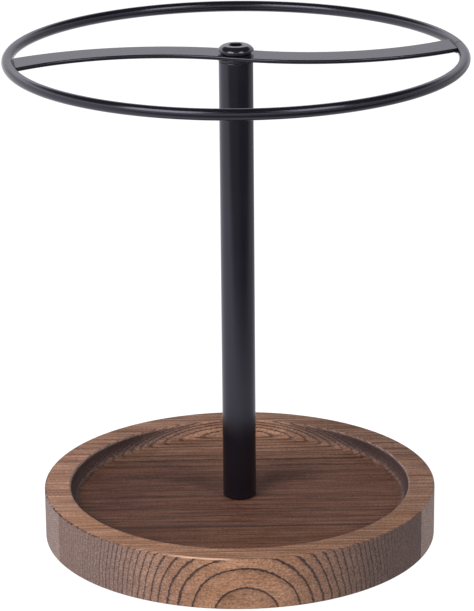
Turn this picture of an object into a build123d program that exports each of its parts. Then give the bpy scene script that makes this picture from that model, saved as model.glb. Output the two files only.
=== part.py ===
from build123d import *
import math
import os

# Rotating eyeglass rack: a round wooden tray with a steel post, and a rod ring that spins on top of the post.
# Millimetres, +Z up. The origin is the centre of the underside, on the surface that the four feet stand on.
# +X runs along the wood grain, and -Y is the front.

# Ring and cross strap
ROD_DIAMETER = 4.4            # with its coat
RING_OUTER_DIAMETER = 180.8
RING_DROP = 0.4               # of the rod's centre line below the middle of the strap
SEAM_AZIMUTH = 8.1            # degrees from +X, where the two ends of the rod meet
SEAM_GAP = 0.5                # between the rod's ends, filled by the butt weld
SEAM_GROOVE_DEPTH = 0.15
STRAP_WIDTH = 14.2
STRAP_THICKNESS = 1.6
STRAP_EDGE_ROUND = 0.35
STRAP_END_GAP = 0.05          # between the strap's ends and the rod, bridged by the welds
STRAP_BEND_RADIUS = 87.1      # each half of the S is one arc of this radius
STRAP_CENTRE_SLOPE = -20.85   # degrees, the strap's direction where it crosses the pivot
WELD_THROAT = 1.25            # radius of the bead before the strap and the rod are taken out of it
WELD_OVERRUN = 1.2            # how far a bead runs on past each side of the strap

# Wooden base
BASE_DIAMETER = 158.0
BASE_THICKNESS = 21.0
RIM_WIDTH = 10.6
TRAY_DEPTH = 6.0
TRAY_COVE_RADIUS = 4.5
TRAY_COVE_FACETS = 4
RIM_OUTER_EASE = 0.7
RIM_INNER_EASE = 0.9
BASE_FOOT_EASE = 0.6
GLUE_LINE_Y = -33.0           # the face where the front board meets the rear board

# Feet
FOOT_DIAMETER = 12.0
FOOT_THICKNESS = 1.5
FOOT_CIRCLE_RADIUS = 62.0
FOOT_EDGE = 0.4

# Post
POST_DIAMETER = 13.4          # with its coat
POST_WALL = 1.2
POST_LENGTH = 181.1
POST_EDGE_ROUND = 0.9
PLUG_LENGTH = 20.0
PLUG_SETBACK = 0.5            # the lower plug stays this far inside the tube, so that the tube meets the wood
PLUG_CLEARANCE = 0.02

# Screws, all with an M6 thread and the same low round head
THREAD_RADIUS = 2.95
TAPPED_RADIUS = 3.0
HEAD_DIAMETER = 14.0
HEAD_FLAT_DIAMETER = 9.6
HEAD_HEIGHT = 2.2
HEAD_LAND = 0.35
HEAD_DOME_RADIUS = 3.6        # of the arc between the head's land and its flat top
HEX_ACROSS_FLATS = 5.0
HEX_DEPTH = 3.2
HEX_CHAMFER = 0.3
TIP_CHAMFER = 0.8
SHOULDER_DIAMETER = 8.0
PIVOT_THREAD_LENGTH = 16.0
BASE_SCREW_LENGTH = 25.0

# Washers
SPIN_WASHER_THICKNESS = 1.1
LOWER_WASHER_DIAMETER = 13.8
UPPER_WASHER_DIAMETER = 12.0
SPIN_WASHER_EDGE = 0.25
RUNNING_CLEARANCE = 0.05      # radial, between the strap's hole and the screw's shoulder
AXIAL_PLAY = 0.05             # above and below the strap
FLAT_WASHER_DIAMETER = 18.0
FLAT_WASHER_THICKNESS = 1.6
LOCK_WASHER_DIAMETER = 11.8
LOCK_WASHER_THICKNESS = 1.6
LOCK_WASHER_SPLIT = 1.0
LOCK_WASHER_SPLIT_ANGLE = 20.0
SCREW_HOLE_RADIUS = 3.4
COUNTERBORE_DIAMETER = 19.0
COUNTERBORE_DEPTH = 6.4

# Heights, worked out from the foot upwards
BASE_BOTTOM = FOOT_THICKNESS
BASE_TOP = BASE_BOTTOM + BASE_THICKNESS
TRAY_FLOOR = BASE_TOP - TRAY_DEPTH
POST_TOP = TRAY_FLOOR + POST_LENGTH
STRAP_BOTTOM = POST_TOP + SPIN_WASHER_THICKNESS + AXIAL_PLAY
STRAP_TOP = STRAP_BOTTOM + STRAP_THICKNESS
RING_HEIGHT = STRAP_BOTTOM + STRAP_THICKNESS / 2 - RING_DROP
UPPER_WASHER_BOTTOM = STRAP_TOP + AXIAL_PLAY
PIVOT_HEAD_BOTTOM = UPPER_WASHER_BOTTOM + SPIN_WASHER_THICKNESS
COUNTERBORE_TOP = BASE_BOTTOM + COUNTERBORE_DEPTH
BASE_SCREW_SEAT = COUNTERBORE_TOP - FLAT_WASHER_THICKNESS - LOCK_WASHER_THICKNESS

# Radii, worked out from the diameters
ROD_RADIUS = ROD_DIAMETER / 2
RING_RADIUS = (RING_OUTER_DIAMETER - ROD_DIAMETER) / 2
RING_INNER_RADIUS = RING_RADIUS - ROD_RADIUS
BASE_RADIUS = BASE_DIAMETER / 2
TRAY_RADIUS = BASE_RADIUS - RIM_WIDTH
POST_RADIUS = POST_DIAMETER / 2
POST_BORE_RADIUS = POST_RADIUS - POST_WALL
SHOULDER_RADIUS = SHOULDER_DIAMETER / 2
SPIN_HOLE_RADIUS = SHOULDER_RADIUS + RUNNING_CLEARANCE
STRAP_END_AZIMUTH = STRAP_CENTRE_SLOPE + math.degrees(math.asin(RING_INNER_RADIUS / (2 * STRAP_BEND_RADIUS)))

ON_BASE = (Align.CENTER, Align.CENTER, Align.MIN)
SAME_PLACE = 0.01             # edges closer than this to a height or a radius lie on it


def disc(radius, bottom, height):
    """A solid disc about the main axis."""
    return Pos(0, 0, bottom) * Cylinder(radius, height, align=ON_BASE)


def ring(outer, inner, bottom, height):
    """A flat ring about the main axis."""
    return disc(outer, bottom, height) - disc(inner, bottom, height)


def circular_edges(solid, radius, height):
    """The edges of a turned solid that lie at one height and one radius."""
    def matches(edge):
        place = edge.position_at(0)
        off_radius = abs(math.hypot(place.X, place.Y) - radius)
        return max(abs(place.Z - height), off_radius) < SAME_PLACE
    return solid.edges().filter_by(GeomType.CIRCLE).filter_by(matches)


def base_section():
    """Half of the base's section as (radius, height) points: along the underside, up the wall and back over the tray."""
    cove = []
    for step in range(TRAY_COVE_FACETS + 1):
        angle = -math.pi / 2 * step / TRAY_COVE_FACETS
        radius = TRAY_RADIUS - TRAY_COVE_RADIUS * (1 - math.cos(angle))
        height = TRAY_FLOOR + TRAY_COVE_RADIUS * (1 + math.sin(angle))
        cove.append((radius, height))
    return [
        (0, BASE_BOTTOM),
        (BASE_RADIUS - BASE_FOOT_EASE, BASE_BOTTOM),
        (BASE_RADIUS, BASE_BOTTOM + BASE_FOOT_EASE),
        (BASE_RADIUS, BASE_TOP - RIM_OUTER_EASE),
        (BASE_RADIUS - RIM_OUTER_EASE, BASE_TOP),
        (TRAY_RADIUS + RIM_INNER_EASE, BASE_TOP),
        (TRAY_RADIUS, BASE_TOP - RIM_INNER_EASE),
        *cove,
        (0, TRAY_FLOOR),
    ]


def wooden_base():
    """The two glued boards as one blank, with the tray, the screw's hole and its counterbore cut in it."""
    blank = revolve(Plane.XZ * Polygon(*base_section(), align=None), Axis.Z)
    blank -= disc(SCREW_HOLE_RADIUS, BASE_BOTTOM, BASE_THICKNESS)
    return blank - disc(COUNTERBORE_DIAMETER / 2, BASE_BOTTOM, COUNTERBORE_DEPTH)


def boards():
    """The base's front and rear boards, which meet on a flat glue line."""
    front_half = Pos(0, GLUE_LINE_Y - BASE_DIAMETER / 2, 0) * Box(2 * BASE_DIAMETER, BASE_DIAMETER, BASE_DIAMETER)
    blank = wooden_base()
    return blank & front_half, blank - front_half


def foot_pad(side, end):
    """One round foot. side is -1 on the left and 1 on the right, end is -1 at the front and 1 at the rear."""
    pad = disc(FOOT_DIAMETER / 2, 0, FOOT_THICKNESS)
    pad = chamfer(circular_edges(pad, FOOT_DIAMETER / 2, 0), FOOT_EDGE)
    reach = FOOT_CIRCLE_RADIUS * math.sqrt(0.5)
    return Pos(side * reach, end * reach, 0) * pad


def post_tube():
    """The upright, with both outer ends eased."""
    tube = ring(POST_RADIUS, POST_BORE_RADIUS, TRAY_FLOOR, POST_LENGTH)
    tube = fillet(circular_edges(tube, POST_RADIUS, TRAY_FLOOR), POST_EDGE_ROUND)
    return chamfer(circular_edges(tube, POST_RADIUS, POST_TOP), POST_EDGE_ROUND / 2)


def threaded_plug(bottom):
    """A plug pressed into one end of the tube and tapped right through."""
    return ring(POST_BORE_RADIUS - PLUG_CLEARANCE, TAPPED_RADIUS, bottom, PLUG_LENGTH)


def screw_head():
    """A low domed head, standing on z = 0, with its hex socket still to cut."""
    rim = HEAD_DIAMETER / 2
    flat = HEAD_FLAT_DIAMETER / 2
    outline = Polyline((rim, HEAD_LAND), (rim, 0), (0, 0), (0, HEAD_HEIGHT), (flat, HEAD_HEIGHT))
    outline += RadiusArc((rim, HEAD_LAND), (flat, HEAD_HEIGHT), -HEAD_DOME_RADIUS)
    return revolve(Plane.XZ * make_face(outline), Axis.Z)


def hex_socket():
    """The space that the hex key goes into, down from the top of the head, with an eased mouth."""
    corner_radius = HEX_ACROSS_FLATS / math.sqrt(3)
    hexagon = RegularPolygon(HEX_ACROSS_FLATS / 2, 6, major_radius=False)
    well = Pos(0, 0, HEAD_HEIGHT - HEX_DEPTH) * extrude(hexagon, HEX_DEPTH)
    mouth = Pos(0, 0, HEAD_HEIGHT - HEX_CHAMFER) * Cone(
        corner_radius - HEX_CHAMFER, corner_radius, HEX_CHAMFER, align=ON_BASE
    )
    return well + mouth


def shank(radius, length):
    """A screw's shank, hanging down from z = 0, with a pointed-off tip."""
    rod = disc(radius, -length, length)
    return chamfer(circular_edges(rod, radius, -length), TIP_CHAMFER)


def pivot_screw():
    """The shoulder screw that the ring turns on: head, plain shoulder, then thread."""
    shoulder_length = PIVOT_HEAD_BOTTOM - POST_TOP
    screw = screw_head() + disc(SHOULDER_RADIUS, -shoulder_length, shoulder_length)
    screw += shank(THREAD_RADIUS, shoulder_length + PIVOT_THREAD_LENGTH)
    return Pos(0, 0, PIVOT_HEAD_BOTTOM) * (screw - hex_socket())


def base_screw():
    """The screw that comes up through the base, with its head downwards."""
    screw = screw_head() + shank(THREAD_RADIUS, BASE_SCREW_LENGTH) - hex_socket()
    return Pos(0, 0, BASE_SCREW_SEAT) * Rot(X=180) * screw


def spin_washer(diameter, bottom):
    """A plain washer with rounded outer edges, round the screw's shoulder."""
    washer = ring(diameter / 2, SPIN_HOLE_RADIUS, bottom, SPIN_WASHER_THICKNESS)
    rims = circular_edges(washer, diameter / 2, bottom)
    rims += circular_edges(washer, diameter / 2, bottom + SPIN_WASHER_THICKNESS)
    return fillet(rims, SPIN_WASHER_EDGE)


def base_flat_washer():
    """The wide washer that spreads the base screw's load on the wood."""
    bottom = COUNTERBORE_TOP - FLAT_WASHER_THICKNESS
    return ring(FLAT_WASHER_DIAMETER / 2, SCREW_HOLE_RADIUS, bottom, FLAT_WASHER_THICKNESS)


def base_lock_washer():
    """The split spring washer, pressed flat between the base screw's head and the wide washer."""
    washer = ring(LOCK_WASHER_DIAMETER / 2, SCREW_HOLE_RADIUS, BASE_SCREW_SEAT, LOCK_WASHER_THICKNESS)
    split = Box(LOCK_WASHER_DIAMETER, LOCK_WASHER_SPLIT, 3 * LOCK_WASHER_THICKNESS)
    split = Rot(X=LOCK_WASHER_SPLIT_ANGLE) * Pos(LOCK_WASHER_DIAMETER / 2, 0, 0) * split
    return washer - Pos(0, 0, BASE_SCREW_SEAT + LOCK_WASHER_THICKNESS / 2) * split


def strap_outline():
    """The strap seen from above: two arcs that meet on the pivot and bend opposite ways, cut off by the ring."""
    slope = math.radians(STRAP_CENTRE_SLOPE)
    bend_centre = Pos(-STRAP_BEND_RADIUS * math.sin(slope), STRAP_BEND_RADIUS * math.cos(slope))
    band = Circle(STRAP_BEND_RADIUS + STRAP_WIDTH / 2) - Circle(STRAP_BEND_RADIUS - STRAP_WIDTH / 2)
    right_side = Rot(Z=STRAP_CENTRE_SLOPE) * Pos(RING_RADIUS, 0) * Rectangle(2 * RING_RADIUS, 2 * RING_RADIUS)
    right_half = Circle(RING_INNER_RADIUS - STRAP_END_GAP) & right_side & bend_centre * band
    return right_half + Rot(Z=180) * right_half


def cross_strap():
    """The flat bar across the ring, with its edges rounded and a hole for the pivot."""
    bar = Pos(0, 0, STRAP_BOTTOM) * extrude(strap_outline(), STRAP_THICKNESS)
    faces = bar.faces().sort_by(Axis.Z)
    bar = fillet(faces[0].edges() + faces[-1].edges(), STRAP_EDGE_ROUND)
    return bar - disc(SPIN_HOLE_RADIUS, STRAP_BOTTOM, STRAP_THICKNESS)


def rod_arc(radius, start_azimuth, sweep):
    """A length of round bar rolled about the main axis. Angles are in degrees."""
    section = Plane.XZ * Pos(RING_RADIUS, 0) * Circle(radius)
    arc = revolve(section, Axis.Z, sweep)
    return Pos(0, 0, RING_HEIGHT) * Rot(Z=start_azimuth) * arc


def ring_rod():
    """The rod, rolled until its ends almost meet."""
    gap = math.degrees(SEAM_GAP / RING_RADIUS)
    return rod_arc(ROD_RADIUS, SEAM_AZIMUTH + gap / 2, 360 - gap)


def ring_butt_weld():
    """The weld between the rod's two ends, a little thinner than the rod."""
    gap = math.degrees(SEAM_GAP / RING_RADIUS)
    return rod_arc(ROD_RADIUS - SEAM_GROOVE_DEPTH, SEAM_AZIMUTH - gap / 2, gap)


def strap_weld(azimuth, neighbours):
    """The bead round one end of the strap, where it meets the inside of the ring."""
    reach = math.degrees((STRAP_WIDTH / 2 + WELD_OVERRUN) / RING_INNER_RADIUS)
    section = Plane.XZ * Pos(RING_INNER_RADIUS, 0) * Circle(WELD_THROAT)
    bead = Rot(Z=azimuth - reach) * revolve(section, Axis.Z, 2 * reach)
    bead = Pos(0, 0, RING_HEIGHT) * bead
    for piece in neighbours:
        bead -= piece
    return bead


def build():
    """Every piece of the rack by name."""
    front, rear = boards()
    strap = cross_strap()
    rod = ring_rod()
    butt_weld = ring_butt_weld()
    pieces = {
        "base_front_board": front,
        "base_rear_board": rear,
        "post_tube": post_tube(),
        "post_bottom_plug": threaded_plug(TRAY_FLOOR + PLUG_SETBACK),
        "post_top_plug": threaded_plug(POST_TOP - PLUG_LENGTH),
        "base_screw": base_screw(),
        "base_flat_washer": base_flat_washer(),
        "base_lock_washer": base_lock_washer(),
        "lower_spin_washer": spin_washer(LOWER_WASHER_DIAMETER, POST_TOP),
        "upper_spin_washer": spin_washer(UPPER_WASHER_DIAMETER, UPPER_WASHER_BOTTOM),
        "pivot_screw": pivot_screw(),
        "cross_strap": strap,
        "ring_rod": rod,
        "ring_butt_weld": butt_weld,
        "strap_weld_right": strap_weld(STRAP_END_AZIMUTH, (strap, rod, butt_weld)),
        "strap_weld_left": strap_weld(STRAP_END_AZIMUTH + 180, (strap, rod)),
    }
    for side, side_name in ((-1, "left"), (1, "right")):
        for end, end_name in ((-1, "front"), (1, "rear")):
            pieces[f"foot_pad_{end_name}_{side_name}"] = foot_pad(side, end)
    return pieces


os.makedirs("parts", exist_ok=True)
for name, piece in build().items():
    export_step(piece, os.path.join("parts", name + ".step"))
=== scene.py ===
import math
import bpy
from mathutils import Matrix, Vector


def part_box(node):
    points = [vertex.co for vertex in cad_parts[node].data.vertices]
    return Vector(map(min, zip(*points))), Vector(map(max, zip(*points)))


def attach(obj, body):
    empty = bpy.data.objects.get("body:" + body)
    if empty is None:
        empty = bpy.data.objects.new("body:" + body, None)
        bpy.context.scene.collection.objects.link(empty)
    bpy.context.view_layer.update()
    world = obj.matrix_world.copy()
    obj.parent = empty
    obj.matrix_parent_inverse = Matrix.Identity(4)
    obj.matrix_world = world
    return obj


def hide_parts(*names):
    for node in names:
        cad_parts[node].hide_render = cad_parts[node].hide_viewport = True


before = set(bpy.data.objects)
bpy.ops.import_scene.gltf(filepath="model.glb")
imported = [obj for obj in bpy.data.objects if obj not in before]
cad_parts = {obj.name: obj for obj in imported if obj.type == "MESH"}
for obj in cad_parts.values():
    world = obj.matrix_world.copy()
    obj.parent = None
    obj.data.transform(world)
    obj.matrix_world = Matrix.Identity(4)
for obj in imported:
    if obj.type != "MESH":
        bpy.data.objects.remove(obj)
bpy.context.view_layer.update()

from types import SimpleNamespace

import bmesh
import bpy
from mathutils import Matrix, Vector

# A turning eyeglass rack: a round wooden tray, a steel post, and a rod ring with an S-shaped strap across it.
# Metres, +Z up, in the CAD part's own frame. The wood grain runs along X, and -Y is the front.

MM = 0.001
TAU = 2 * math.pi


# ---------------------------------------------------------------- sizes

def reach(node):
    """The largest distance of a node from the main axis, along X."""
    low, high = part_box(node)
    return max(high.x, -low.x)


REAR_LOW, REAR_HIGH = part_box("base_rear_board")
BASE_BOTTOM = REAR_LOW.z
BASE_TOP = REAR_HIGH.z
BASE_RADIUS = reach("base_rear_board")
GLUE_LINE_Y = REAR_LOW.y
POST_LOW, POST_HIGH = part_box("post_tube")
TRAY_FLOOR = POST_LOW.z
POST_TOP = POST_HIGH.z
POST_RADIUS = reach("post_tube")
ROD_LOW, ROD_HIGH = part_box("ring_rod")
ROD_RADIUS = (ROD_HIGH.z - ROD_LOW.z) / 2
RING_RADIUS = reach("ring_rod") - ROD_RADIUS
RING_HEIGHT = (ROD_HIGH.z + ROD_LOW.z) / 2
STRAP_LOW, STRAP_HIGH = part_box("cross_strap")
HEAD_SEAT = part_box("upper_spin_washer")[1].z
BASE_SCREW_LOW, BASE_SCREW_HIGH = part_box("base_screw")

# These repeat the CAD part's own dimensions, but the strap's edges are rounder here.
TRAY_RADIUS = BASE_RADIUS - 10.6 * MM
COVE_RADIUS = 4.5 * MM
RIM_INNER_ROUND = 0.9 * MM
RIM_OUTER_ROUND = 0.7 * MM
FOOT_ROUND = 0.6 * MM
SCREW_HOLE_RADIUS = 3.4 * MM
COUNTERBORE_RADIUS = 9.5 * MM
POST_WALL = 1.2 * MM
POST_FOOT_ROUND = 0.9 * MM
STRAP_WIDTH = 14.2 * MM
STRAP_EDGE_ROUND = 0.6 * MM
STRAP_BEND_RADIUS = 87.1 * MM
STRAP_END_RADIUS = RING_RADIUS - ROD_RADIUS - 0.05 * MM
STRAP_CENTRE_SLOPE = math.radians(-20.85)
SEAM_AZIMUTH = math.radians(8.1)
SEAM_GAP = 0.5 * MM
SEAM_GROOVE = 0.15 * MM
WELD_THROAT = 1.25 * MM
WELD_OVERRUN = 1.2 * MM
HEAD_RADIUS = 7.0 * MM
HEAD_HEIGHT = 2.2 * MM
HEAD_LAND = 0.35 * MM
HEAD_FLAT_RADIUS = 4.8 * MM
HEAD_DOME_RADIUS = 3.6 * MM
HEX_ACROSS_FLATS = 5.0 * MM
HEX_DEPTH = 3.2 * MM
SHOULDER_RADIUS = 4.0 * MM
THREAD_RADIUS = 2.95 * MM
PIVOT_THREAD_LENGTH = 16 * MM
SPIN_HOLE_RADIUS = 4.05 * MM

# These are details that only this model has.
THREAD_PITCH = 1.0 * MM
THREAD_DEPTH = 0.5 * MM
THREAD_TIP = 1.2 * MM
GLUE_GAP = 0.04 * MM

# How many flats stand for a full turn.
BASE_FLATS = 288
ROUND_FLATS = 96


# ---------------------------------------------------------------- mesh helpers

def finished_piece(name, bm, node, body, material):
    """Turns a bmesh into the object that stands for a CAD node, on that node's body."""
    sharp_angle = math.radians(32)
    bmesh.ops.recalc_face_normals(bm, faces=bm.faces)
    mesh = bpy.data.meshes.new(name)
    bm.to_mesh(mesh)
    bm.free()
    mesh.shade_smooth()
    mesh.set_sharp_from_angle(angle=sharp_angle)
    mesh.materials.append(material)
    piece = bpy.data.objects.new(name, mesh)
    bpy.context.scene.collection.objects.link(piece)
    flatten = piece.modifiers.new("flat_faces_stay_flat", "WEIGHTED_NORMAL")
    flatten.keep_sharp = True
    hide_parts(node)
    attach(piece, body)


def arc(centre_radius, centre_height, size, start, end, steps=5):
    """Points of an arc in a (radius, height) section. Angles are in degrees."""
    points = []
    for step in range(steps + 1):
        angle = math.radians(start + (end - start) * step / steps)
        points.append((centre_radius + size * math.cos(angle), centre_height + size * math.sin(angle)))
    return points


def skin(loops, closed_path=False, capped=False):
    """A bmesh that joins closed loops with the same number of points, one after another."""
    bm = bmesh.new()
    rows = [[bm.verts.new(point) for point in loop] for loop in loops]
    pairs = list(zip(rows, rows[1:]))
    if closed_path:
        pairs.append((rows[-1], rows[0]))
    for first, second in pairs:
        for i in range(len(first)):
            j = (i + 1) % len(first)
            bm.faces.new((first[i], first[j], second[j], second[i]))
    if capped:
        bm.faces.new(rows[0])
        bm.faces.new(rows[-1])
    return bm


def turned(section, flats, closed_path=True):
    """A solid of revolution about the main axis. An open section ends in flat caps."""
    loops = []
    for radius, height in section:
        angles = [TAU * i / flats for i in range(flats)]
        loops.append([(radius * math.cos(a), radius * math.sin(a), height) for a in angles])
    return skin(loops, closed_path, capped=not closed_path)


def flat_ring_section(inner, outer, low, high, rounding):
    """The section of a washer with rounded edges."""
    section = arc(inner + rounding, high - rounding, rounding, 90, 180, 4)
    section += arc(inner + rounding, low + rounding, rounding, 180, 270, 4)
    section += arc(outer - rounding, low + rounding, rounding, -90, 0, 4)
    section += arc(outer - rounding, high - rounding, rounding, 0, 90, 4)
    return section


# ---------------------------------------------------------------- node helpers

class Material:
    """A material's node tree, written one node at a time. Values may be numbers or other nodes' outputs."""

    def __init__(self, name):
        self.data = bpy.data.materials.new(name)
        self.data.use_nodes = True
        self.tree = self.data.node_tree
        self.shader = self.tree.nodes["Principled BSDF"]

    def put(self, socket, value):
        if isinstance(value, bpy.types.NodeSocket):
            self.tree.links.new(value, socket)
        elif value is not None:
            socket.default_value = value

    def set(self, **values):
        """Sets the shader's sockets. An underscore in a name stands for a space."""
        for name, value in values.items():
            self.put(self.shader.inputs[name.replace("_", " ")], value)

    def math(self, operation, first, second=None, third=None):
        node = self.tree.nodes.new("ShaderNodeMath")
        node.operation = operation
        for socket, value in zip(node.inputs, (first, second, third)):
            self.put(socket, value)
        return node.outputs[0]

    def product(self, *values):
        """All the values multiplied together."""
        result, *others = values
        for value in others:
            result = self.math("MULTIPLY", result, value)
        return result

    def vector(self, operation, first, second=None):
        node = self.tree.nodes.new("ShaderNodeVectorMath")
        node.operation = operation
        self.put(node.inputs[0], first)
        self.put(node.inputs[1], second)
        return node.outputs["Value" if operation == "LENGTH" else "Vector"]

    def step(self, value, low, high, to_low=0.0, to_high=1.0):
        """A smooth step, from to_low where the value is low or less to to_high where it is high or more."""
        node = self.tree.nodes.new("ShaderNodeMapRange")
        node.interpolation_type = "SMOOTHSTEP"
        for socket, number in zip(node.inputs, (value, low, high, to_low, to_high)):
            self.put(socket, number)
        return node.outputs[0]

    def noise(self, place, scale=1.0, detail=2.0, roughness=0.5):
        node = self.tree.nodes.new("ShaderNodeTexNoise")
        self.put(node.inputs["Vector"], place)
        self.put(node.inputs["Scale"], scale)
        self.put(node.inputs["Detail"], detail)
        self.put(node.inputs["Roughness"], roughness)
        return node.outputs[0]

    def mix(self, factor, first, second, blend="MIX"):
        """Mixes two colours."""
        node = self.tree.nodes.new("ShaderNodeMix")
        node.data_type = "RGBA"
        node.blend_type = blend
        node.clamp_factor = True
        self.put(node.inputs[0], factor)
        for socket, colour in ((node.inputs[6], first), (node.inputs[7], second)):
            self.put(socket, (*colour, 1) if isinstance(colour, tuple) else colour)
        return node.outputs[2]

    def split(self, vector):
        node = self.tree.nodes.new("ShaderNodeSeparateXYZ")
        self.put(node.inputs[0], vector)
        return node.outputs

    def join(self, x, y, z):
        node = self.tree.nodes.new("ShaderNodeCombineXYZ")
        for socket, value in zip(node.inputs, (x, y, z)):
            self.put(socket, value)
        return node.outputs[0]

    def millimetres(self):
        """The point on the piece, in the frame, in millimetres."""
        node = self.tree.nodes.new("ShaderNodeTexCoord")
        return self.vector("MULTIPLY", node.outputs["Object"], (1000, 1000, 1000))

    def normal(self):
        return self.tree.nodes.new("ShaderNodeNewGeometry").outputs["Normal"]

    def bump(self, height, strength, depth):
        """A bump map. The depth is in metres."""
        node = self.tree.nodes.new("ShaderNodeBump")
        self.put(node.inputs["Strength"], strength)
        self.put(node.inputs["Distance"], depth)
        self.put(node.inputs["Height"], height)
        return node.outputs[0]


# ---------------------------------------------------------------- wood

# Lengths in this section are in millimetres, and colours are linear.
GRAIN_TURN = math.radians(-1.2)
BASE_EDGE = 1000 * BASE_RADIUS
TRAY_EDGE = 1000 * TRAY_RADIUS
RIM_HEIGHT = 1000 * BASE_TOP
TRAY_DEPTH = 1000 * (BASE_TOP - TRAY_FLOOR)
GLUE_LINE = 1000 * GLUE_LINE_Y
LEFT_END, RIGHT_END = -90, 90
# Painted shadow: the tray's floor and its low end-grain walls are multiplied by this colour.
TRAY_PAINTED_SHADOW = (0.40, 0.34, 0.34)
# The colour of the painted highlight on the outer arris.
ARRIS_HIGHLIGHT_COLOUR = (0.56, 0.36, 0.25)


def wood_point(m):
    """The point in millimetres, with x along the grain and z measured from the rim's top."""
    turned_point = m.tree.nodes.new("ShaderNodeVectorRotate")
    turned_point.rotation_type = "Z_AXIS"
    m.put(turned_point.inputs["Vector"], m.millimetres())
    m.put(turned_point.inputs["Angle"], GRAIN_TURN)
    return m.vector("ADD", turned_point.outputs[0], (0, 0, -RIM_HEIGHT))


def stretched(m, point, along, across):
    """The point scaled for a noise with the given sizes along and across the grain."""
    return m.vector("MULTIPLY", point, (1 / along, 1 / across, 1 / across))


def wobble(m, point, raggedness):
    """How far the growth rings stray from their ideal surfaces."""
    drift = 1.1
    slow = m.noise(stretched(m, point, along=70, across=14), detail=1)
    quick = m.noise(stretched(m, point, along=2.2, across=0.7), detail=3, roughness=0.7)
    slow = m.math("MULTIPLY_ADD", slow, drift, -drift / 2)
    quick = m.math("MULTIPLY", m.math("SUBTRACT", quick, 0.5), raggedness)
    return m.math("ADD", slow, quick)


def front_rings(m, point):
    """The ring number in the front board, and how plainly its lines show.

    The rings stand nearly upright. At the front edge they lean over, so the wall cuts them into arches, with
    their middle arch_depth below the rim's top. Their spacing grows towards that edge by up to widening.
    """
    arch_depth, arch_width, lean_fade = 25, 150, 20
    spacing, widening, widening_fade = 1.3, 0.9, 4.0
    crisp, ragged, faint = 0.16, 0.75, 0.4
    _, y, z = m.split(point)
    depth = m.math("ADD", y, BASE_EDGE)
    height = m.math("ADD", z, arch_depth)
    lean = m.math("MULTIPLY", m.math("MULTIPLY", height, height), 1 / arch_width)
    lean = m.math("MULTIPLY", lean, m.math("EXPONENT", m.math("MULTIPLY", depth, -1 / lean_fade)))
    across = m.math("ADD", depth, lean)
    raggedness = m.step(across, 0.5, 6.0, crisp, ragged)
    across = m.math("ADD", across, wobble(m, point, raggedness))
    outer = m.math("EXPONENT", m.math("MULTIPLY", across, -1 / widening_fade))
    outer = m.math("LOGARITHM", m.math("MULTIPLY_ADD", outer, widening, spacing), math.e)
    inner = m.math("MULTIPLY", across, 1 / spacing)
    number = m.math("MULTIPLY_ADD", outer, widening_fade / spacing, inner)
    return number, m.step(depth, 20, 34, 1.0, faint)


def rear_rings(m, point):
    """The ring number in the rear board, and how plainly its lines show.

    The rings are wide arcs about a line high above the board.
    """
    pith_y, pith_z, spacing = 18, 110, 0.95
    crisp, ragged, faint = 0.3, 0.7, 0.5
    _, y, z = m.split(point)
    radius = m.vector("LENGTH", m.join(0.0, m.math("ADD", y, -pith_y), m.math("ADD", z, -pith_z)))
    raggedness = m.step(y, 20, 60, ragged, crisp)
    number = m.math("MULTIPLY", m.math("ADD", radius, wobble(m, point, raggedness)), 1 / spacing)
    return number, m.step(y, 0, 45, faint, 1.0)


def latewood(m, rings, phase, latest_start):
    """The dark part of each growth ring: a slow rise and a sharp end. Every ring is different.

    The dark part starts at latest_start or up to variation before it, as a fraction of the ring. In the rings
    up to the first arch on the front wall it is thinner, and starts at thin_start.
    """
    first_arch, thin_start, variation = 3, 0.905, 0.14
    onset, darkness, tint, end = 0.04, 0.66, 0.32, 0.975
    number = m.math("ADD", rings, phase)
    whole = m.math("FLOOR", number)
    own = m.tree.nodes.new("ShaderNodeTexWhiteNoise")
    own.noise_dimensions = "1D"
    m.put(own.inputs["W"], whole)
    start = m.math("MULTIPLY_ADD", own.outputs["Value"], -variation, latest_start)
    thin = m.step(whole, first_arch + 0.2, first_arch + 0.8, thin_start, 0.0)
    start = m.math("MAXIMUM", start, thin)
    part = m.math("FRACT", number)
    dark = m.step(part, start, m.math("ADD", start, onset))
    rise = m.math("ADD", m.math("MULTIPLY", dark, darkness), m.step(part, 0.5, 0.95, 0.0, tint))
    return m.math("MULTIPLY", rise, m.step(part, end, 1.0, 1.0, 0.0))


def wood_place(m):
    """Where a point lies on the base: lengths, and factors from 0 to 1."""
    rear_shadow_share = 0.25
    at = SimpleNamespace(point=wood_point(m))
    at.x, at.y, at.z = m.split(at.point)
    facing_x, _, facing_z = m.split(m.vector("ABSOLUTE", m.normal()))
    at.end_grain = m.step(facing_x, 0.1, 0.75)
    at.level = m.step(facing_z, 0.5, 0.95)
    at.radius = m.vector("LENGTH", m.vector("MULTIPLY", m.millimetres(), (1, 1, 0)))
    at.inside = m.step(at.radius, TRAY_EDGE - 0.2, TRAY_EDGE + 0.9, 1.0, 0.0)
    # Masks for the tray's painted shadow: the low end-grain walls, and the floor, whose painted shadow fades
    # towards the rear.
    at.end_wall = m.math("MULTIPLY", m.step(at.z, -1.3, -0.1, 1.0, 0.0), at.end_grain)
    at.deep = m.step(at.z, 0.3 - TRAY_DEPTH, 1.1 - TRAY_DEPTH, 1.0, 0.0)
    at.deep = m.math("MULTIPLY", at.deep, m.step(at.y, 20, 62, 1.0, rear_shadow_share))
    at.tray_floor = m.math("MULTIPLY", at.inside, at.level)
    return at


def grain_colour(m, at, rings, look):
    """The wood's body in warm and pale clouds, greyer on end grain, with the growth rings' dark lines."""
    cloud = m.noise(stretched(m, at.point, along=30, across=8), detail=3, roughness=0.55)
    body = m.mix(m.step(cloud, 0.3, 0.7), look["warm"], look["pale"])
    body = m.mix(at.end_grain, body, look["end"])
    line = m.mix(at.end_grain, look["line"], look["end_line"])
    return m.mix(rings, body, line)


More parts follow.
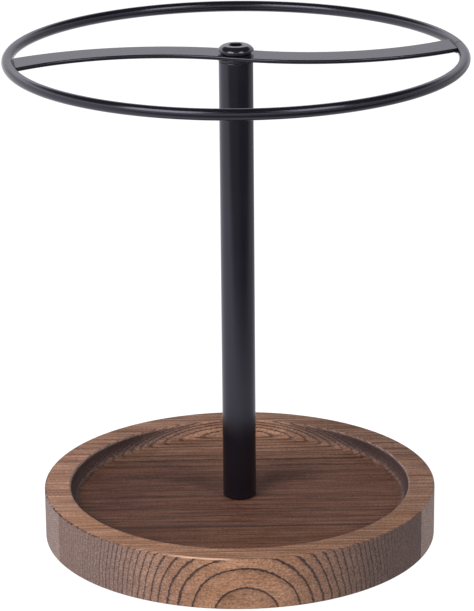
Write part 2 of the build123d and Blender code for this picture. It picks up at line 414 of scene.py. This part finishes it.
def grain_and_painted_shade(m, at, fibre, speckle, look):
    """A factor for the colour: fibres, streaks and speckles, painted shade that deepens to the right, and
    painted shadow in the tray.
    """
    left_side_light, floor_left, floor_right, end_wall_shade = 1.06, -0.32, 0.28, -0.38
    fibre_shade = m.step(fibre, 0.25, 0.75, 0.75, 1.25)
    speckle_shade = m.step(speckle, 0.3, 0.7, 0.65, 1.35)

    streak = m.noise(stretched(m, at.point, along=60, across=1.6), detail=3, roughness=0.6)
    finer = m.math("MULTIPLY", at.deep, m.math("MULTIPLY_ADD", fibre, 0.6, -0.3))
    streak = m.math("ADD", streak, finer)
    light = m.math("MULTIPLY_ADD", at.level, 0.5, 0.1)
    dark = m.math("MULTIPLY_ADD", at.level, -0.22, 0.95)
    streak_shade = m.math("MULTIPLY_ADD", m.step(streak, 0.35, 0.65), light, dark)

    # Painted shade: the wood darkens from left to right. On end grain the front board darkens more to the
    # right, and the rear board gets painted light there.
    end_side_shade = m.math("MULTIPLY", at.end_grain, m.step(at.x, LEFT_END, 70, 0.0, look["end_right_shade"]))
    zinc_stain_and_side_shade = m.step(at.x, LEFT_END, RIGHT_END, left_side_light, look["right_side_shade"])
    zinc_stain_and_side_shade = m.math("SUBTRACT", zinc_stain_and_side_shade, end_side_shade)
    # Painted shadow on the tray's floor, darker on the left and lighter on the right.
    floor_painted_shadow = m.step(at.x, -75, 75, floor_left, floor_right)
    floor_shade = m.math("MULTIPLY_ADD", at.tray_floor, floor_painted_shadow, 1.0)
    # Painted shade on the tray's low end-grain walls.
    end_wall = m.math("MULTIPLY", at.inside, at.end_wall)
    wall_shade = m.math("MULTIPLY_ADD", end_wall, end_wall_shade, 1.0)
    return m.product(fibre_shade, streak_shade, speckle_shade, zinc_stain_and_side_shade, floor_shade, wall_shade)


def edge_marks(m, at, colour, line):
    """The glue line across the tray's floor, and the dark chipped outer arris with a painted highlight along
    a stretch of it.
    """
    seam_darkness, right_darkness, highlight_strength = 0.7, 0.15, 0.55
    seam = m.step(m.math("ABSOLUTE", m.math("ADD", at.y, -GLUE_LINE)), 0.3, 1.1, 1.0, 0.0)
    seam = m.math("MULTIPLY", seam, at.tray_floor)
    colour = m.mix(m.math("MULTIPLY", seam, seam_darkness), colour, line)

    rim = m.step(at.radius, BASE_EDGE - 0.75, BASE_EDGE - 0.35)
    arris = m.math("MULTIPLY", rim, m.step(at.z, -0.75, -0.3))
    chipped = m.step(m.noise(m.vector("MULTIPLY", at.point, (0.8, 0.8, 0.1)), detail=2), 0.45, 0.55)
    leftward = m.step(at.x, -72, -30, 1.0, right_darkness)
    colour = m.mix(m.product(arris, chipped, leftward), colour, line)

    # Painted highlight: a pale stretch of the outer arris, left of the middle at the front.
    stretch = m.math("MULTIPLY", m.step(at.x, -34, -22), m.step(at.x, -8, -2, 1.0, 0.0))
    painted_highlight = m.product(arris, stretch, m.step(at.y, -60, -50, highlight_strength, 0.0))
    return m.mix(painted_highlight, colour, ARRIS_HIGHLIGHT_COLOUR)


def wood(name, ring_numbers, phase, look):
    """Dark-stained softwood, cut from one solid pattern of growth rings. look holds the board's settings."""
    m = Material(name)
    at = wood_place(m)
    number, plainness = ring_numbers(m, at.point)
    rings = latewood(m, number, phase, look["latest_start"])
    rings = m.math("MULTIPLY", rings, m.math("MULTIPLY_ADD", at.level, -0.4, 0.95))
    fibre = m.noise(stretched(m, at.point, along=14, across=0.55), detail=4, roughness=0.7)
    speckle = m.noise(stretched(m, at.point, along=0.9, across=0.6), detail=2, roughness=0.8)
    fleck = m.noise(stretched(m, at.point, along=2.2, across=0.3), detail=1)
    fleck = m.step(fleck, 0.60, 0.70)

    colour = grain_colour(m, at, m.math("MULTIPLY", rings, plainness), look)
    shade = grain_and_painted_shade(m, at, fibre, speckle, look)
    colour = m.mix(1.0, colour, m.join(shade, shade, shade), "MULTIPLY")
    flecks = m.math("MULTIPLY", fleck, m.math("MULTIPLY_ADD", at.level, 0.35, 0.2))
    colour = m.mix(flecks, colour, look["line"])
    # Painted shadow over the tray's floor and its low end-grain walls.
    tray = m.math("MULTIPLY", at.inside, m.math("MAXIMUM", at.end_wall, at.deep))
    colour = m.mix(tray, colour, m.mix(1.0, colour, TRAY_PAINTED_SHADOW, "MULTIPLY"))
    colour = edge_marks(m, at, colour, look["line"])

    relief = m.math("ADD", m.math("MULTIPLY", rings, 0.6), m.math("MULTIPLY", fibre, 0.6))
    relief = m.math("ADD", relief, m.math("MULTIPLY", speckle, 0.5))
    relief = m.math("SUBTRACT", relief, m.math("MULTIPLY", fleck, 0.4))
    m.set(Base_Color=colour, Normal=m.bump(relief, strength=0.8, depth=0.12 * MM),
          Roughness=m.math("MULTIPLY_ADD", fibre, 0.25, 0.55), Specular_IOR_Level=0.12)
    return m.data


FRONT_WOOD = wood("front_board_wood", front_rings, 0.97, {
    "warm": (0.194, 0.097, 0.054),
    "pale": (0.252, 0.134, 0.082),
    "end": (0.130, 0.085, 0.071),
    "line": (0.026, 0.016, 0.015),
    "end_line": (0.056, 0.038, 0.036),
    # The next two settings are painted shade towards the right.
    "right_side_shade": 0.68,
    "end_right_shade": 0.11,
    "latest_start": 0.86,
})
REAR_WOOD = wood("rear_board_wood", rear_rings, 0.0, {
    "warm": (0.190, 0.098, 0.062),
    "pale": (0.250, 0.138, 0.090),
    "end": (0.175, 0.124, 0.106),
    "line": (0.018, 0.011, 0.010),
    "end_line": (0.085, 0.060, 0.054),
    # The next two settings are painted shade towards the right, and painted light on the right end grain.
    "right_side_shade": 0.71,
    "end_right_shade": -0.35,
    "latest_start": 0.80,
})


# ---------------------------------------------------------------- metal, rubber and nylon

def black_finish(name, colour, roughness, grain, coat):
    """A black skin on steel or nylon, with a fine orange-peel surface and faint dust-dull patches."""
    m = Material(name)
    point = m.millimetres()
    dusty, unevenness = 1.5, 0.06
    peel = m.noise(point, scale=1 / grain, detail=2)
    patch = m.noise(point, scale=0.06, detail=1)
    tone = m.mix(m.step(patch, 0.2, 0.8), colour, tuple(dusty * c for c in colour))
    m.set(Base_Color=tone, Normal=m.bump(peel, strength=0.2, depth=0.01 * MM),
          Specular_IOR_Level=0.68, Specular_Tint=(0.88, 0.88, 1.0, 1.0),
          Roughness=m.math("MULTIPLY_ADD", patch, unevenness, roughness - unevenness / 2),
          Coat_Weight=coat, Coat_Roughness=0.12)
    return m.data


def zinc_plate(name):
    """Bright zinc plate with a faint blue cast and fine scuffs."""
    m = Material(name)
    point = m.millimetres()
    scuff = m.noise(m.vector("MULTIPLY", point, (0.6, 0.6, 6.0)), detail=4, roughness=0.6)
    zinc_stain_and_side_shade = m.noise(point, scale=0.35, detail=2)
    tone = m.mix(zinc_stain_and_side_shade, (0.50, 0.52, 0.55), (0.66, 0.65, 0.62))
    m.set(Base_Color=tone, Metallic=1.0, Roughness=m.math("MULTIPLY_ADD", scuff, 0.3, 0.2),
          Normal=m.bump(scuff, strength=0.25, depth=0.02 * MM))
    return m.data


def rubber(name):
    """Matt black rubber with a fine grain."""
    m = Material(name)
    point = m.millimetres()
    grain = m.noise(point, scale=3.0, detail=3, roughness=0.7)
    tone = m.mix(m.noise(point, scale=0.4, detail=2), (0.012, 0.012, 0.012), (0.026, 0.025, 0.024))
    m.set(Base_Color=tone, Roughness=m.math("MULTIPLY_ADD", grain, 0.2, 0.65), Specular_IOR_Level=0.3,
          Normal=m.bump(grain, strength=0.4, depth=0.04 * MM))
    return m.data


POWDER_COAT = black_finish("black_powder_coat", (0.0025, 0.0023, 0.0037), roughness=0.19, grain=0.5, coat=0.0)
BLACK_SCREW = black_finish("black_screw_finish", (0.003, 0.003, 0.0035), roughness=0.16, grain=0.8, coat=0.4)
BLACK_NYLON = black_finish("black_nylon", (0.0035, 0.0035, 0.004), roughness=0.2, grain=0.6, coat=0.0)
ZINC = zinc_plate("zinc_plated_steel")
RUBBER = rubber("black_rubber")


# ---------------------------------------------------------------- base

def base_section():
    """The base's section, from the counterbore out, up and back over the tray to the screw hole."""
    counterbore_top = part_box("base_flat_washer")[1].z
    section = [(COUNTERBORE_RADIUS, counterbore_top), (COUNTERBORE_RADIUS, BASE_BOTTOM)]
    section += arc(BASE_RADIUS - FOOT_ROUND, BASE_BOTTOM + FOOT_ROUND, FOOT_ROUND, -90, 0)
    section += arc(BASE_RADIUS - RIM_OUTER_ROUND, BASE_TOP - RIM_OUTER_ROUND, RIM_OUTER_ROUND, 0, 90)
    section += arc(TRAY_RADIUS + RIM_INNER_ROUND, BASE_TOP - RIM_INNER_ROUND, RIM_INNER_ROUND, 90, 180)
    section += arc(TRAY_RADIUS - COVE_RADIUS, TRAY_FLOOR + COVE_RADIUS, COVE_RADIUS, 0, -90, 12)
    section += [(SCREW_HOLE_RADIUS, TRAY_FLOOR), (SCREW_HOLE_RADIUS, counterbore_top)]
    return section


def board(side):
    """The part of the base on one side of the glue line. side is -1 in front and 1 at the rear."""
    bm = turned(base_section(), BASE_FLATS)
    cut = Vector((0, GLUE_LINE_Y + side * GLUE_GAP / 2, 0))
    everything = bm.verts[:] + bm.edges[:] + bm.faces[:]
    found = bmesh.ops.bisect_plane(bm, geom=everything, plane_co=cut, plane_no=(0, side, 0), clear_inner=True)
    edges = [e for e in found["geom_cut"] if isinstance(e, bmesh.types.BMEdge)]
    bmesh.ops.contextual_create(bm, geom=edges)
    return bm


def foot_pad(node):
    """A round stick-on foot with rounded edges."""
    lower_round, upper_round, flats = 0.45 * MM, 0.15 * MM, 64
    low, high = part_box(node)
    radius = (high.x - low.x) / 2
    section = arc(radius - lower_round, low.z + lower_round, lower_round, -90, 0)
    section += arc(radius - upper_round, high.z - upper_round, upper_round, 0, 90, 3)
    bm = turned(section, flats, closed_path=False)
    bmesh.ops.translate(bm, verts=bm.verts, vec=((low.x + high.x) / 2, (low.y + high.y) / 2, 0))
    return bm


finished_piece("front_board", board(-1), "base_front_board", "stand", FRONT_WOOD)
finished_piece("rear_board", board(1), "base_rear_board", "stand", REAR_WOOD)
for end in ("front", "rear"):
    for side in ("left", "right"):
        node = f"foot_pad_{end}_{side}"
        finished_piece(f"rubber_{node}", foot_pad(node), node, "stand", RUBBER)


# ---------------------------------------------------------------- post

def post_section():
    """The tube's wall, with both outer ends eased."""
    top_round = POST_FOOT_ROUND / 2
    section = [(POST_RADIUS - POST_WALL, TRAY_FLOOR)]
    section += arc(POST_RADIUS - POST_FOOT_ROUND, TRAY_FLOOR + POST_FOOT_ROUND, POST_FOOT_ROUND, -90, 0, 8)
    section += arc(POST_RADIUS - top_round, POST_TOP - top_round, top_round, 0, 90)
    section.append((POST_RADIUS - POST_WALL, POST_TOP))
    return section


finished_piece("post", turned(post_section(), ROUND_FLATS),
               "post_tube", "stand", POWDER_COAT)
for node in ("post_bottom_plug", "post_top_plug"):
    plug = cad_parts[node]
    plug.data.materials.clear()
    plug.data.materials.append(ZINC)


# ---------------------------------------------------------------- screws and washers

def hexagon_radius(angle):
    """The distance from the middle of the hex socket to its wall."""
    return HEX_ACROSS_FLATS / 2 / math.cos(angle % (TAU / 6) - TAU / 12)


def head_dome():
    """The arc of the head's section, from its side up to its flat top."""
    chord = Vector((HEAD_FLAT_RADIUS - HEAD_RADIUS, HEAD_HEIGHT - HEAD_LAND))
    middle = Vector((HEAD_FLAT_RADIUS + HEAD_RADIUS, HEAD_HEIGHT + HEAD_LAND)) / 2
    inward = Vector((-chord.y, chord.x)).normalized()
    centre = middle + inward * math.sqrt(HEAD_DOME_RADIUS**2 - (chord.length / 2) ** 2)
    start = math.degrees(math.atan2(HEAD_LAND - centre.y, HEAD_RADIUS - centre.x))
    end = math.degrees(math.atan2(HEAD_HEIGHT - centre.y, HEAD_FLAT_RADIUS - centre.x))
    return arc(centre.x, centre.y, HEAD_DOME_RADIUS, start, end, 10)


def thread_radius(angle, down, length):
    """The thread's radius, a way down from its start. It is a V-thread with flat crests and a tapered tip."""
    crest_width, tip_slope = 1.3, 0.6
    turn = (down / THREAD_PITCH - angle / TAU) % 1.0
    crest = 1 - abs(2 * turn - 1)
    tip = max(0.0, down - length + THREAD_TIP) * tip_slope
    return THREAD_RADIUS - THREAD_DEPTH * (1 - min(1.0, crest_width * crest)) - tip


def screw_bmesh(shoulder_length, thread_length):
    """A low round-headed screw that hangs from z = 0, with a hex socket in its head."""
    drill_point, seat_round, mouth_gap, rows_per_turn = 0.5 * MM, 0.1 * MM, 0.05 * MM, 8
    angles = [TAU * i / ROUND_FLATS for i in range(ROUND_FLATS)]
    corner = HEX_ACROSS_FLATS / math.sqrt(3)
    socket_floor = HEAD_HEIGHT - HEX_DEPTH

    def hexagon(height):
        return [(hexagon_radius(a) * math.cos(a), hexagon_radius(a) * math.sin(a), height) for a in angles]

    def circle(radius, height):
        return [(radius * math.cos(a), radius * math.sin(a), height) for a in angles]

    mouth = []
    for a in angles:
        wall = hexagon_radius(a)
        mouth.append((wall * math.cos(a), wall * math.sin(a), HEAD_HEIGHT - (corner - wall)))
    loops = [circle(corner / 2, socket_floor - drill_point), hexagon(socket_floor), mouth]
    loops.append(circle(corner + mouth_gap, HEAD_HEIGHT))
    loops += [circle(*point) for point in reversed(head_dome())]
    loops.append(circle(HEAD_RADIUS, seat_round))
    loops.append(circle(HEAD_RADIUS - seat_round, 0))
    if shoulder_length:
        loops.append(circle(SHOULDER_RADIUS, 0))
        loops.append(circle(SHOULDER_RADIUS, -shoulder_length))
    loops.append(circle(THREAD_RADIUS - THREAD_DEPTH, -shoulder_length))
    rows = round(thread_length / THREAD_PITCH * rows_per_turn)
    for row in range(1, rows + 1):
        down = thread_length * row / rows
        loop = []
        for a in angles:
            radius = thread_radius(a, down, thread_length)
            loop.append((radius * math.cos(a), radius * math.sin(a), -shoulder_length - down))
        loops.append(loop)
    return skin(loops, capped=True)


pivot = screw_bmesh(HEAD_SEAT - POST_TOP, PIVOT_THREAD_LENGTH)
bmesh.ops.translate(pivot, verts=pivot.verts, vec=(0, 0, HEAD_SEAT))
finished_piece("pivot_cap_screw", pivot, "pivot_screw", "stand", BLACK_SCREW)

upward = screw_bmesh(0, BASE_SCREW_HIGH.z - BASE_SCREW_LOW.z - HEAD_HEIGHT)
bmesh.ops.rotate(upward, verts=upward.verts, matrix=Matrix.Rotation(math.pi, 3, "X"))
bmesh.ops.translate(upward, verts=upward.verts, vec=(0, 0, BASE_SCREW_LOW.z + HEAD_HEIGHT))
finished_piece("base_cap_screw", upward, "base_screw", "stand", ZINC)


def washer(node, hole_radius, rounding):
    """A plain round washer with rounded edges."""
    low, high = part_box(node)
    return turned(flat_ring_section(hole_radius, high.x, low.z, high.z, rounding), ROUND_FLATS)


def split_washer(node):
    """The spring washer, with a slanted split."""
    slant_angle, gap, rounding = math.radians(20), 1.0 * MM, 0.12 * MM
    low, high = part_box(node)
    slant = math.tan(slant_angle) / high.x
    half_gap = gap / 2 / high.x
    section = flat_ring_section(SCREW_HOLE_RADIUS, high.x, low.z, high.z, rounding)
    middle = (low.z + high.z) / 2
    loops = []
    for i in range(ROUND_FLATS + 1):
        azimuth = half_gap + (TAU - 2 * half_gap) * i / ROUND_FLATS
        loop = []
        for radius, height in section:
            a = azimuth - slant * (height - middle)
            loop.append((radius * math.cos(a), radius * math.sin(a), height))
        loops.append(loop)
    return skin(loops, capped=True)


for level in ("lower", "upper"):
    node = f"{level}_spin_washer"
    finished_piece(f"{level}_nylon_washer", washer(node, SPIN_HOLE_RADIUS, 0.28 * MM), node,
                   "stand", BLACK_NYLON)
finished_piece("plain_washer", washer("base_flat_washer", SCREW_HOLE_RADIUS, 0.15 * MM),
               "base_flat_washer", "stand", ZINC)
finished_piece("spring_washer", split_washer("base_lock_washer"),
               "base_lock_washer", "stand", ZINC)


# ---------------------------------------------------------------- ring, strap and welds

def rolled_bar(start, end, bar_radius, steps, around=28):
    """A length of round bar rolled about the main axis. bar_radius depends on how far along it is, 0 to 1."""
    loops = []
    for i in range(steps + 1):
        along = i / steps
        azimuth = start + (end - start) * along
        loop = []
        for j in range(around):
            a = TAU * j / around
            radius = RING_RADIUS + bar_radius(along) * math.cos(a)
            height = RING_HEIGHT + bar_radius(along) * math.sin(a)
            loop.append((radius * math.cos(azimuth), radius * math.sin(azimuth), height))
        loops.append(loop)
    return skin(loops, capped=True)


def seam_radius(along):
    """The butt weld is a shallow groove, deepest at its middle."""
    return ROD_RADIUS - SEAM_GROOVE * (1 - abs(2 * along - 1) / 2)


SEAM_HALF = SEAM_GAP / RING_RADIUS / 2
SEAM_START = SEAM_AZIMUTH - SEAM_HALF
SEAM_END = SEAM_AZIMUTH + SEAM_HALF
finished_piece("display_ring", rolled_bar(SEAM_END, SEAM_START + TAU, lambda along: ROD_RADIUS, steps=420),
               "ring_rod", "spinning_ring", POWDER_COAT)
finished_piece("ring_seam_weld", rolled_bar(SEAM_START, SEAM_END, seam_radius, steps=6),
               "ring_butt_weld", "spinning_ring", POWDER_COAT)


def strap_point(along, across):
    """A point of the strap's plan: two equal arcs. along is -1 at the left end and 1 at the right."""
    if along < 0:
        mirrored = strap_point(-along, -across)
        return -mirrored
    centre = STRAP_BEND_RADIUS * Vector((-math.sin(STRAP_CENTRE_SLOPE), math.cos(STRAP_CENTRE_SLOPE)))
    towards_centre = math.atan2(centre.y, centre.x)
    radius = STRAP_BEND_RADIUS + across
    cosine = (STRAP_END_RADIUS**2 - STRAP_BEND_RADIUS**2 - radius**2) / (2 * STRAP_BEND_RADIUS * radius)
    sweep = math.pi - math.acos(cosine)
    azimuth = towards_centre - math.pi + sweep * along
    return centre + radius * Vector((math.cos(azimuth), math.sin(azimuth)))


def strap_bmesh(stations=80):
    """The flat bar along its S, before it is drilled."""
    half = STRAP_WIDTH / 2
    section = []
    for side, high, start in ((1, 1, 0), (-1, 1, 90), (-1, 0, 180), (1, 0, 270)):
        height = STRAP_HIGH.z - STRAP_EDGE_ROUND if high else STRAP_LOW.z + STRAP_EDGE_ROUND
        section += arc(side * (half - STRAP_EDGE_ROUND), height, STRAP_EDGE_ROUND, start, start + 90, 5)
    loops = []
    for i in range(stations + 1):
        along = 2 * i / stations - 1
        loops.append([(*strap_point(along, across), height) for across, height in section])
    return skin(loops, capped=True)


def with_hole(bm, radius):
    """Cuts a round hole down the main axis right through a bmesh."""
    blank = bpy.data.objects.new("blank", bpy.data.meshes.new("blank"))
    drill = bpy.data.objects.new("drill", bpy.data.meshes.new("drill"))
    rod = turned([(radius, 0), (radius, 2 * RING_HEIGHT)], flats=64, closed_path=False)
    for shape, source in ((blank, bm), (drill, rod)):
        bmesh.ops.recalc_face_normals(source, faces=source.faces)
        source.to_mesh(shape.data)
        source.free()
        bpy.context.scene.collection.objects.link(shape)
    cut = blank.modifiers.new("hole", "BOOLEAN")
    cut.operation = "DIFFERENCE"
    cut.object = drill
    cut.solver = "EXACT"
    result = bmesh.new()
    result.from_object(blank, bpy.context.evaluated_depsgraph_get())
    bpy.data.objects.remove(blank)
    bpy.data.objects.remove(drill)
    return result


finished_piece("s_strap", with_hole(strap_bmesh(), SPIN_HOLE_RADIUS),
               "cross_strap", "spinning_ring", POWDER_COAT)


def weld_bead(along, steps=88, around=20):
    """The rippled bead round one end of the strap, tapered at both ends."""
    ripples, ripple_height, end_size = 11, 0.06, 0.02 * MM
    inner = RING_RADIUS - ROD_RADIUS
    end_point = strap_point(along, 0)
    azimuth = math.atan2(end_point.y, end_point.x)
    spread = (STRAP_WIDTH / 2 + WELD_OVERRUN) / inner
    loops = []
    for i in range(steps + 1):
        t = 2 * i / steps - 1
        size = WELD_THROAT * math.sqrt(max(0.0, 1 - abs(t) ** 8)) + end_size
        size *= 1 - ripple_height + ripple_height * math.cos(TAU * ripples * i / steps)
        here = azimuth + spread * t
        loop = []
        for j in range(around):
            a = TAU * j / around
            radius = inner + size * math.cos(a)
            loop.append((radius * math.cos(here), radius * math.sin(here), RING_HEIGHT + size * math.sin(a)))
        loops.append(loop)
    return skin(loops, capped=True)


for node, along in (("strap_weld_right", 1), ("strap_weld_left", -1)):
    finished_piece(f"{node}_bead", weld_bead(along), node, "spinning_ring", POWDER_COAT)


# ---------------------------------------------------------------- stage, light and camera

WHITE = (1, 1, 1, 1)
BLACK = (0, 0, 0, 1)
DAYLIGHT = (0.96, 0.97, 1.0)
STUDIO_MIDDLE = Vector((0, 0, 0.1))


def stage_sheet(name, bm, material):
    """Makes a sheet or card of the studio, which isn't part of the rack."""
    mesh = bpy.data.meshes.new(name)
    bm.to_mesh(mesh)
    bm.free()
    mesh.materials.append(material)
    sheet = bpy.data.objects.new(name, mesh)
    bpy.context.scene.collection.objects.link(sheet)
    return sheet


def reflected_only(name, bm, material):
    """Makes a card of the studio that is seen only in reflections."""
    card = stage_sheet(name, bm, material)
    card.visible_camera = False
    card.visible_diffuse = False
    card.visible_shadow = False
    card.visible_transmission = False
    return card


def floor():
    """A large white floor, lit from within as in a product photograph."""
    bm = bmesh.new()
    bmesh.ops.create_circle(bm, cap_ends=True, segments=96, radius=6)
    m = Material("pale_floor")
    cloud = m.noise(m.millimetres(), scale=0.01, detail=2)
    tone = m.mix(cloud, (0.10, 0.10, 0.10), (0.11, 0.11, 0.11))
    m.set(Base_Color=tone, Roughness=0.8, Specular_IOR_Level=0.0, Emission_Color=WHITE,
          Emission_Strength=1.0)
    stage_sheet("floor", bm, m.data)


def studio_flag():
    """A card flat on the floor, which darkens away to the front and to the right."""
    bm = bmesh.new()
    bmesh.ops.create_circle(bm, cap_ends=True, segments=64, radius=2)
    m = Material("flag_card")
    front_glow, right_glow, slant = 0.25, 0.5, 0.35
    across, along, _ = m.split(m.millimetres())
    ahead = m.math("MULTIPLY_ADD", across, slant, m.math("MULTIPLY", along, -1.0))
    ahead = m.step(ahead, 125, 350, 1.0, front_glow)
    glow = m.math("MULTIPLY", ahead, m.step(across, 0, 260, 1.0, right_glow))
    m.set(Base_Color=BLACK, Specular_IOR_Level=0.0, Emission_Strength=glow,
          Emission_Color=(0.94, 0.92, 1.0, 1))
    reflected_only("studio_flag", bm, m.data).location = (0, 0, 0.5 * MM)


def aim_at_rack(item, azimuth, elevation, distance=1.2):
    """Places a light or a card so that it faces the rack. Azimuth 0 is in front, and 90 is to the right."""
    a, e = math.radians(azimuth), math.radians(elevation)
    outward = Vector((math.sin(a) * math.cos(e), -math.cos(a) * math.cos(e), math.sin(e)))
    item.location = STUDIO_MIDDLE + distance * outward
    item.rotation_euler = (STUDIO_MIDDLE - item.location).to_track_quat("-Z", "Y").to_euler()


def softbox(name, azimuth, elevation, size, power):
    """A softbox. It isn't reflected: a dimmer screen is, in its place."""
    lamp = bpy.data.lights.new(name, "AREA")
    lamp.shape = "RECTANGLE"
    lamp.size, lamp.size_y = size
    lamp.energy = power
    lamp.color = DAYLIGHT
    holder = bpy.data.objects.new(name, lamp)
    holder.visible_glossy = False
    aim_at_rack(holder, azimuth, elevation)
    bpy.context.scene.collection.objects.link(holder)


def screen(name, azimuth, elevation, size, glow):
    """A softbox's glowing front, as the black parts reflect it. It is too high for low views to catch."""
    unevenness = 0.2
    bm = bmesh.new()
    bmesh.ops.create_grid(bm, x_segments=1, y_segments=1, size=0.5)
    bmesh.ops.scale(bm, verts=bm.verts, vec=(*size, 1))
    m = Material(f"{name}_cloth")
    cloud = m.noise(m.millimetres(), scale=0.004, detail=1)
    glow = m.math("MULTIPLY_ADD", cloud, unevenness, glow)
    m.set(Base_Color=BLACK, Specular_IOR_Level=0.0, Emission_Color=(*DAYLIGHT, 1), Emission_Strength=glow)
    aim_at_rack(reflected_only(name, bm, m.data), azimuth, elevation)


def studio_world():
    """Pale walls, brighter on the left, with a bright band at their top and a dark ceiling above."""
    world = bpy.data.worlds.new("studio")
    world.use_nodes = True
    nodes, links = world.node_tree.nodes, world.node_tree.links
    direction = nodes.new("ShaderNodeTexCoord")
    parts = nodes.new("ShaderNodeSeparateXYZ")
    links.new(direction.outputs["Generated"], parts.inputs[0])
    walls = nodes.new("ShaderNodeValToRGB")
    elements = walls.color_ramp.elements
    levels = ((0.0, 0.55), (0.27, 0.55), (0.40, 1.15), (0.60, 0.07))
    green, blue = 0.97, 1.06
    while len(elements) < len(levels):
        elements.new(0.5)
    for element, (height, level) in zip(elements, levels):
        element.position = height
        element.color = (level, green * level, blue * level, 1)
    links.new(parts.outputs["Z"], walls.inputs[0])
    middle_strength, rightward = 1.25, -0.45
    sides = nodes.new("ShaderNodeMath")
    sides.operation = "MULTIPLY_ADD"
    sides.inputs[1].default_value = rightward
    sides.inputs[2].default_value = middle_strength
    links.new(parts.outputs["X"], sides.inputs[0])
    links.new(walls.outputs[0], nodes["Background"].inputs["Color"])
    links.new(sides.outputs[0], nodes["Background"].inputs["Strength"])
    bpy.context.scene.world = world


def photograph_camera():
    """The camera stands 1.07 m in front of the rack, and looks down on it."""
    place = Vector((0, -1.07004, 0.4582))
    pitch, yaw, roll = 0.3251, -0.0004, -0.009
    forward = Vector((math.sin(yaw) * math.cos(pitch), math.cos(yaw) * math.cos(pitch), -math.sin(pitch)))
    right = Vector((math.cos(yaw), -math.sin(yaw), 0))
    up = right.cross(forward)
    across = math.cos(roll) * right + math.sin(roll) * up
    upright = math.cos(roll) * up - math.sin(roll) * right
    lens = bpy.data.cameras.new("camera")
    lens.sensor_width = 36
    lens.lens = 167.3
    lens.clip_start = 0.05
    camera = bpy.data.objects.new("camera", lens)
    turn = Matrix((across, upright, -forward)).transposed().to_4x4()
    camera.matrix_world = Matrix.Translation(place) @ turn
    bpy.context.scene.collection.objects.link(camera)
    bpy.context.scene.camera = camera


floor()
studio_flag()
softbox("softbox_left", azimuth=-40, elevation=36, size=(0.65, 0.85), power=22)
softbox("softbox_right", azimuth=42, elevation=34, size=(0.32, 0.85), power=9.5)
screen("screen_left", azimuth=-40, elevation=43, size=(0.65, 0.60), glow=5.0)
screen("screen_right", azimuth=42, elevation=43, size=(0.45, 0.60), glow=4.0)
studio_world()
bpy.context.scene.view_settings.view_transform = "Standard"
photograph_camera()
